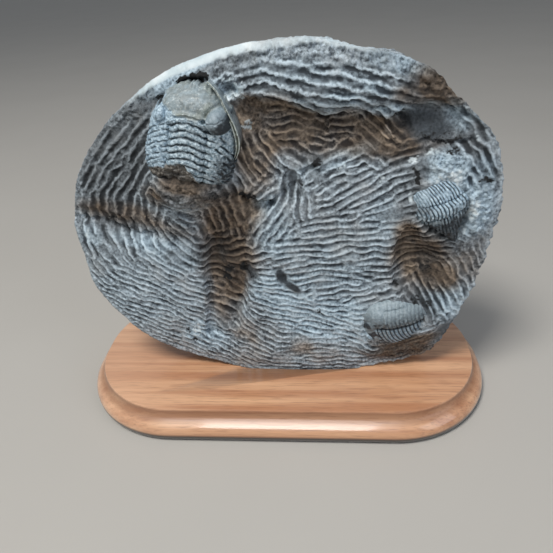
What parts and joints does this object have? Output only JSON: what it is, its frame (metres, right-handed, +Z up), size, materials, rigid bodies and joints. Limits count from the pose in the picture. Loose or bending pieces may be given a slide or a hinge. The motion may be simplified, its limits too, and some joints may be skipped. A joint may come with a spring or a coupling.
{
  "type": "fossil trilobites in a limestone slab",
  "caption": "Display fossil: an oval hand-chiselled dark limestone slab with three trilobites in relief, standing upright in a moulded wooden base.",
  "frame": {"origin": "under the middle of the wooden base, on the surface it stands on", "axes": "+X along the base and across the slab, +Y from the chiselled face to the back, +Z up"},
  "size_m": [0.2694, 0.1396, 0.2256],
  "materials": {
    "limestone": "hand-chiselled, matt, pale crests and dark grooves",
    "fossil_shell": "calcite shell, slightly glossy, blue-grey to olive",
    "wood": "lacquered, reddish brown, grain along the base"
  },
  "bodies": {
    "root": {"matrix_slab": "limestone", "trilobite_large": "fossil_shell", "trilobite_right": "fossil_shell", "trilobite_lower": "fossil_shell", "wooden_base": "wood"}
  },
  "joints": []
}
